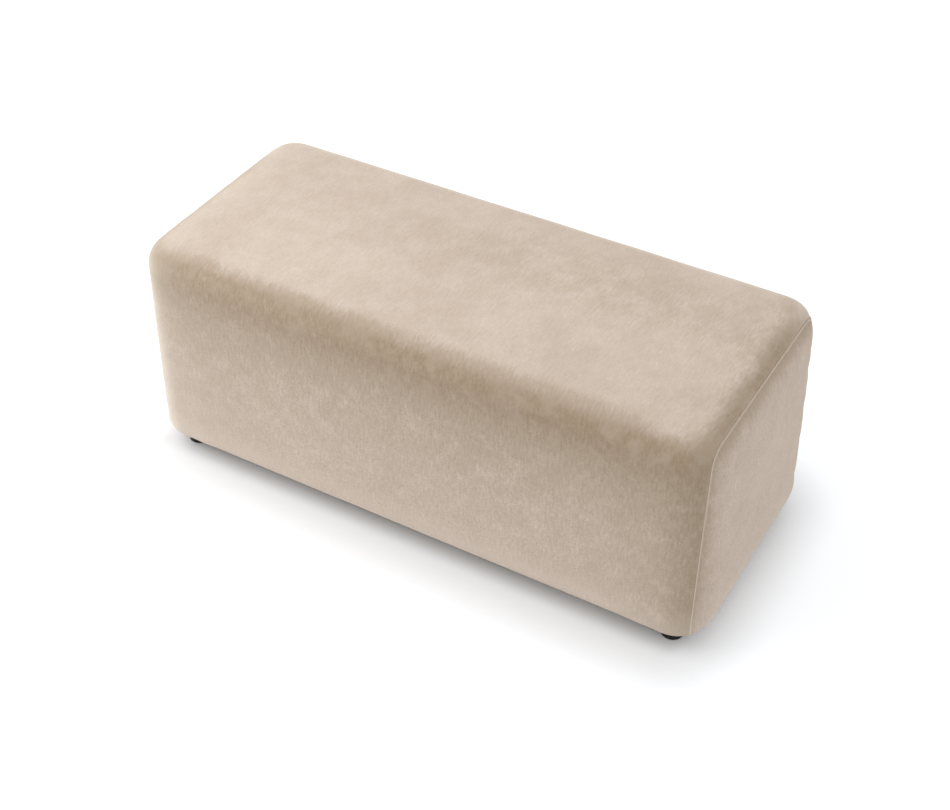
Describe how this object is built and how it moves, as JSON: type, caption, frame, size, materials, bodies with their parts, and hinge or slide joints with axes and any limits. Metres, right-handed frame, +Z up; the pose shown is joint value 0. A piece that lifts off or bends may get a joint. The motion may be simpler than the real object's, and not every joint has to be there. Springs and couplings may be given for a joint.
{
  "type": "upholstered bench",
  "caption": "Low rectangular padded bench, fully covered in pile fabric with rounded edges, end panels joined by plain seams, and round plastic glides underneath.",
  "frame": {"origin": "on the floor under the middle of the bench", "axes": "+X along the bench, -Y towards its front, +Z up"},
  "size_m": [1.1016, 0.467, 0.4476],
  "materials": {
    "pile_fabric": "short dense pile, beige, soft sheen at grazing angles",
    "seam_thread": "matte polyester thread",
    "wadding": "white polyester fibre",
    "foam": "open-cell polyurethane foam",
    "felt": "grey needle felt",
    "webbing": "woven elastic strap",
    "timber": "planed softwood",
    "hardboard": "smooth brown hardboard",
    "staple_wire": "galvanised flat wire",
    "screw_steel": "zinc plated",
    "dust_cloth": "black nonwoven cloth",
    "glide_plastic": "black moulded plastic, satin"
  },
  "bodies": {
    "root": {"corner_post_back_left": "timber", "corner_post_back_right": "timber", "corner_post_front_left": "timber", "corner_post_front_right": "timber", "cover_end_left": "pile_fabric", "cover_end_right": "pile_fabric", "cover_staples": "staple_wire", "cover_wrap": "pile_fabric", "dust_cover": "dust_cloth", "dust_cover_staples": "staple_wire", "foam_back": "foam", "foam_end_left": "foam", "foam_end_right": "foam", "foam_front": "foam", "foam_top": "foam", "foot_back_left": "glide_plastic", "foot_back_right": "glide_plastic", "foot_front_left": "glide_plastic", "foot_front_right": "glide_plastic", "foot_screws": "screw_steel", "frame_dowels": "timber", "lower_cross_rail": "timber", "lower_rail_back": "timber", "lower_rail_front": "timber", "lower_rail_left": "timber", "lower_rail_right": "timber", "mid_post_back": "timber", "mid_post_front": "timber", "panel_back": "hardboard", "panel_front": "hardboard", "panel_left": "hardboard", "panel_right": "hardboard", "panel_staples": "staple_wire", "post_screws": "screw_steel", "seam_thread_left": "seam_thread", "seam_thread_right": "seam_thread", "underlay_felt": "felt", "upper_cross_rail": "timber", "upper_rail_back": "timber", "upper_rail_front": "timber", "upper_rail_left": "timber", "upper_rail_right": "timber", "wadding_end_left": "wadding", "wadding_end_right": "wadding", "wadding_wrap": "wadding", "webbing_cross_1": "webbing", "webbing_cross_2": "webbing", "webbing_cross_3": "webbing", "webbing_cross_4": "webbing", "webbing_cross_5": "webbing", "webbing_cross_6": "webbing", "webbing_cross_7": "webbing", "webbing_long_1": "webbing", "webbing_long_2": "webbing", "webbing_staples": "staple_wire"}
  },
  "joints": []
}
